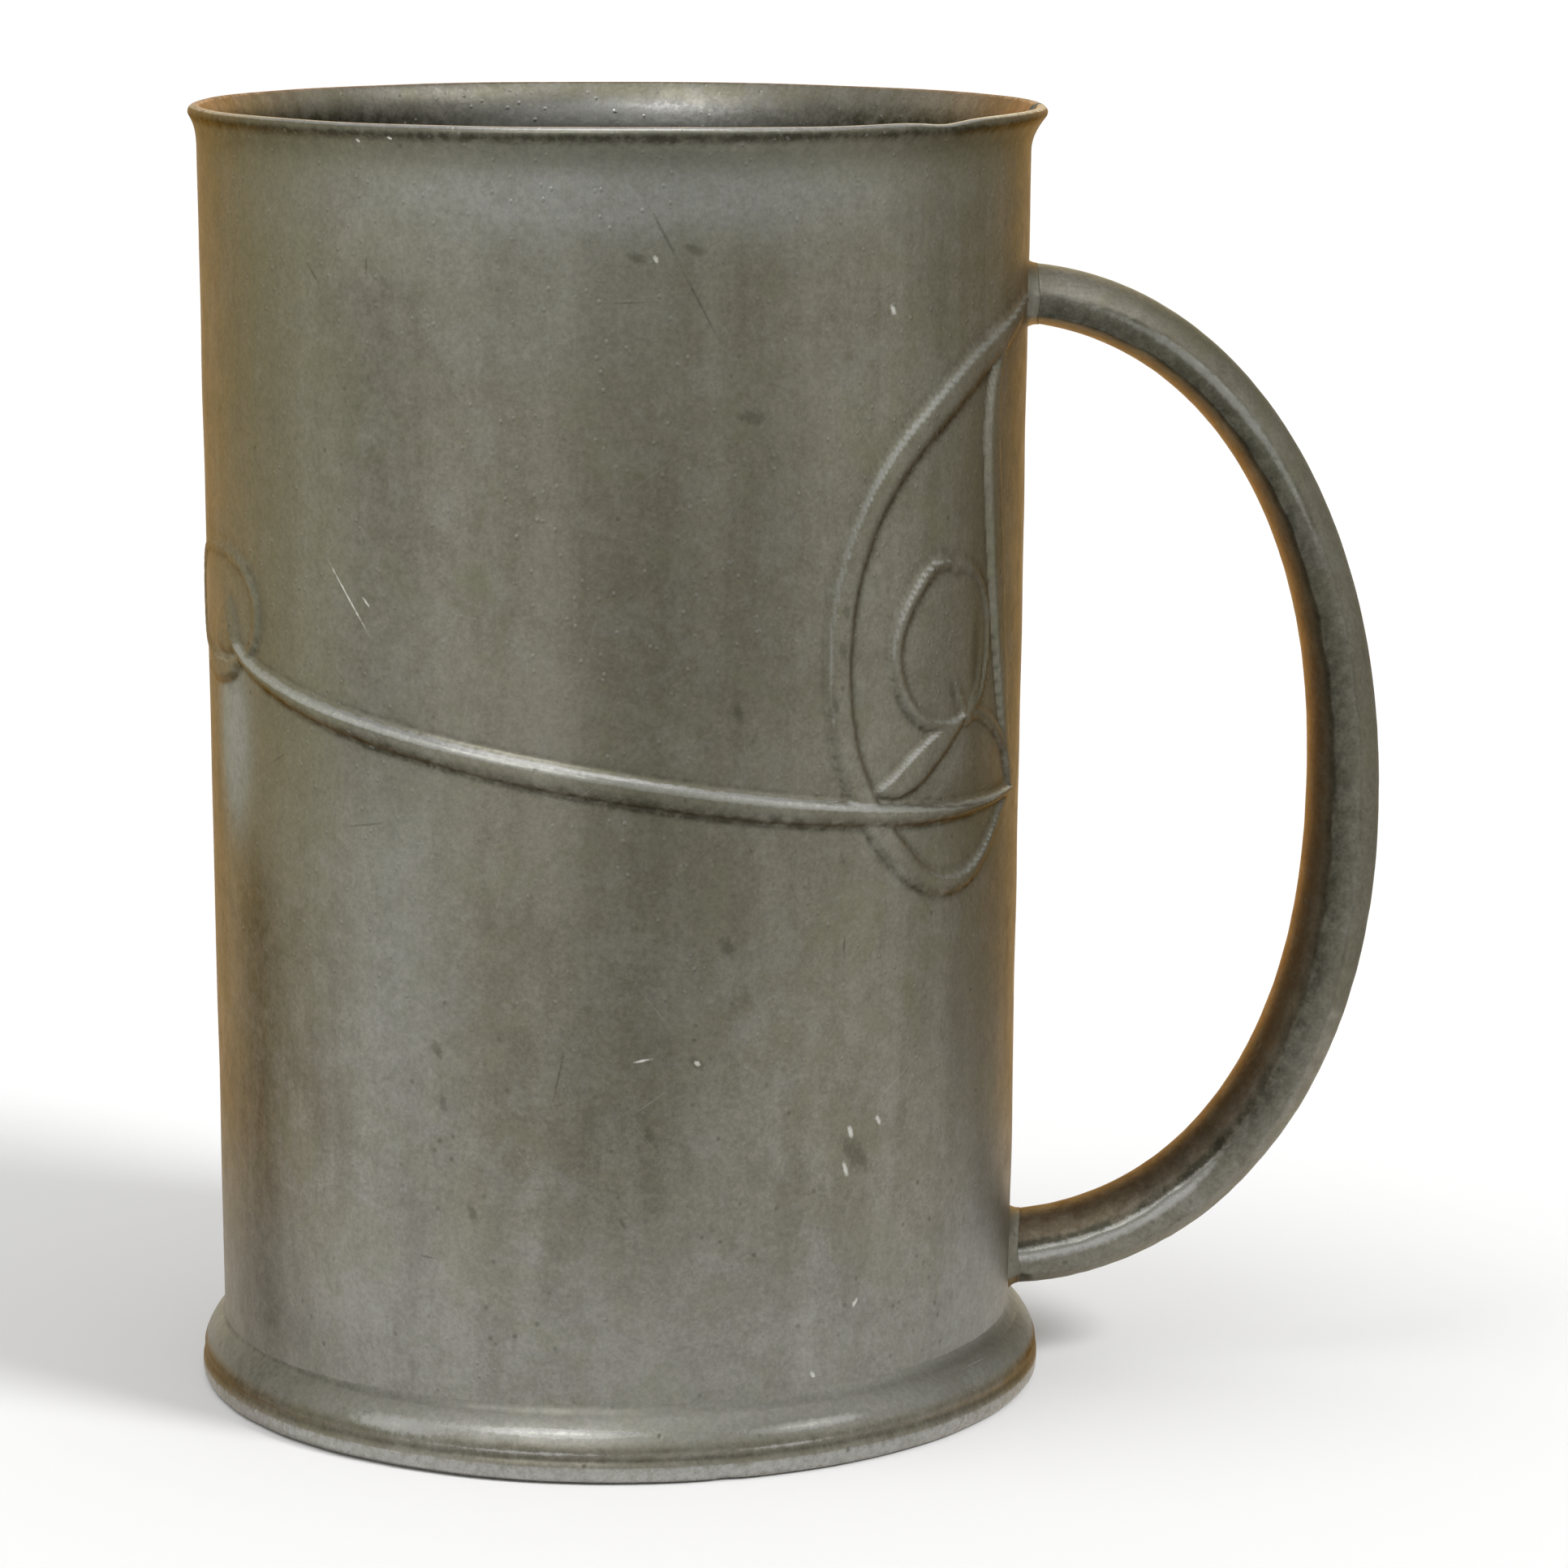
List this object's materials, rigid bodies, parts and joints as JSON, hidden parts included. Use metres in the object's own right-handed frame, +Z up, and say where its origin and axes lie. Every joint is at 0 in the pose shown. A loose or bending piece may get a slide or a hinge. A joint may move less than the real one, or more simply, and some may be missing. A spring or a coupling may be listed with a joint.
{
  "type": "tankard",
  "caption": "Straight-sided drinking tankard with a turned-out lip, a low plant relief on the drum, a moulded foot ring and a D-shaped bar handle.",
  "frame": {"origin": "centre of the drum's axis on the plane that the foot ring rests on", "axes": "+Z up along the drum's axis towards the mouth; +X from the drum's axis to the handle; +Y across, at right angles to the handle's plane"},
  "size_m": [0.1215, 0.0866, 0.13],
  "materials": {
    "drum_pewter": "satin",
    "foot_pewter": "satin",
    "floor_pewter": "satin",
    "handle_pewter": "satin",
    "solder": "satin"
  },
  "bodies": {
    "root": {"drum_wall": "drum_pewter", "drum_seam": "solder", "foot_ring": "foot_pewter", "floor_disc": "floor_pewter", "floor_solder": "solder", "foot_solder": "solder", "handle": "handle_pewter", "handle_upper_solder": "solder", "handle_lower_solder": "solder"}
  },
  "joints": []
}
